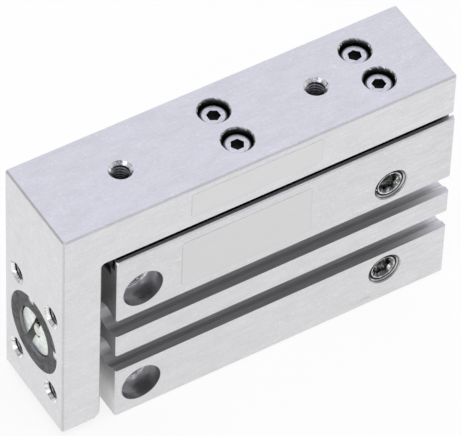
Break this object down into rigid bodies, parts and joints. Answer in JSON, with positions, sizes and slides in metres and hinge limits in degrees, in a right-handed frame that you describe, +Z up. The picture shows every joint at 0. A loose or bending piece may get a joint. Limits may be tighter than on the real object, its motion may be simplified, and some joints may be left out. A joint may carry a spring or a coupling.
{
  "type": "pneumatic slide table",
  "caption": "Small pneumatic slide: an L-shaped table on a ball guide, driven by a cylinder inside its housing, with threads for a load on table and yoke.",
  "frame": {"origin": "bottom centre of the retracted slide's bounding box, on the housing's base", "axes": "+X from the yoke to the rear end along the stroke, +Y to the side with the open supply ports, +Z up to the table"},
  "size_m": [0.0606, 0.0154, 0.0389],
  "materials": {
    "milled_aluminium": "fine milled, clear anodised",
    "turned_aluminium": "turned",
    "guide_steel": "ground and hardened",
    "ball_steel": "polished",
    "cage_brass": "stamped",
    "screw_steel": "stainless, rolled",
    "plug_steel": "stainless",
    "bearing_bronze": "turned",
    "magnet_ceramic": "sintered",
    "rod_steel": "ground and chromed",
    "bright_steel": "bright zinc",
    "blackened_steel": "blackened",
    "spring_steel": "phosphated",
    "seal_rubber": "moulded",
    "bumper_rubber": "moulded"
  },
  "bodies": {
    "base": {"housing": "milled_aluminium", "guide_rail": "guide_steel", "guide_rail_screws": "screw_steel", "port_plug_upper": "plug_steel", "port_plug_lower": "plug_steel", "rod_bearing": "bearing_bronze", "rear_cap": "turned_aluminium", "front_retaining_ring": "spring_steel", "rear_retaining_ring": "spring_steel", "air_duct_balls": "ball_steel", "rod_bearing_seal": "seal_rubber", "rod_seal": "seal_rubber", "rear_cap_seal": "seal_rubber", "front_bumper": "bumper_rubber", "rear_bumper": "bumper_rubber"},
    "slide": {"table": "milled_aluminium", "carriage": "guide_steel", "carriage_screws": "screw_steel", "ring_nut": "blackened_steel", "rod_end": "bright_steel", "piston_rod": "rod_steel", "piston_front": "turned_aluminium", "piston_rear": "turned_aluminium", "piston_magnet": "magnet_ceramic", "piston_seals": "seal_rubber"},
    "cage": {"ball_cage_near": "cage_brass", "ball_cage_far": "cage_brass", "guide_balls_near": "ball_steel", "guide_balls_far": "ball_steel"}
  },
  "joints": [
    {"name": "table_slide", "type": "slide", "parent": "base", "child": "slide", "axis": [-1, 0, 0], "range_m": [0, 0.02]},
    {"name": "cage_travel", "type": "slide", "parent": "base", "child": "cage", "axis": [-1, 0, 0], "range_m": [0, 0.01]}
  ],
  "couplings": [
    {"joint": "cage_travel", "follows": "table_slide", "ratio": 0.5}
  ]
}
